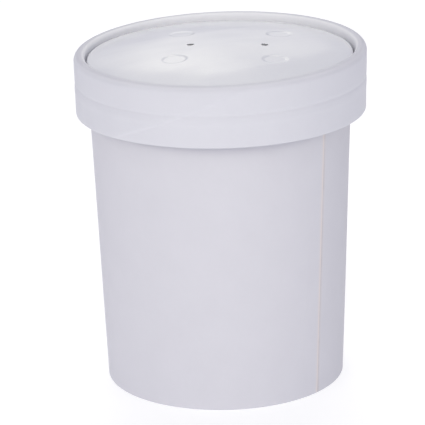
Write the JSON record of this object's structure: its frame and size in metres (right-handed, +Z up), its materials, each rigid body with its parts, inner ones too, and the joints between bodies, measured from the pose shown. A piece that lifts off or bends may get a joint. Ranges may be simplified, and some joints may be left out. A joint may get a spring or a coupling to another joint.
{
  "type": "lidded paper soup container",
  "caption": "Plain white tapered paper food container with a side seam and recessed foot, shut by a vented paper lid with a deep skirt and a slightly domed, dimpled disc.",
  "frame": {"origin": "middle of the foot, on the surface the container stands on", "axes": "+Z up along the container's own axis; -Y faces the viewer of the reference picture, +X is to its right"},
  "size_m": [0.1214, 0.1214, 0.1425],
  "materials": {
    "cup_board": "white food board with a satin polyethylene coating",
    "bottom_board": "white food board, satin",
    "lid_ring_board": "white coated lid board, satin",
    "lid_disc_board": "white coated lid board, slightly glossy"
  },
  "bodies": {
    "root": {"cup_body": "cup_board", "bottom_disc": "bottom_board", "lid_ring": "lid_ring_board", "lid_disc": "lid_disc_board"}
  },
  "joints": []
}
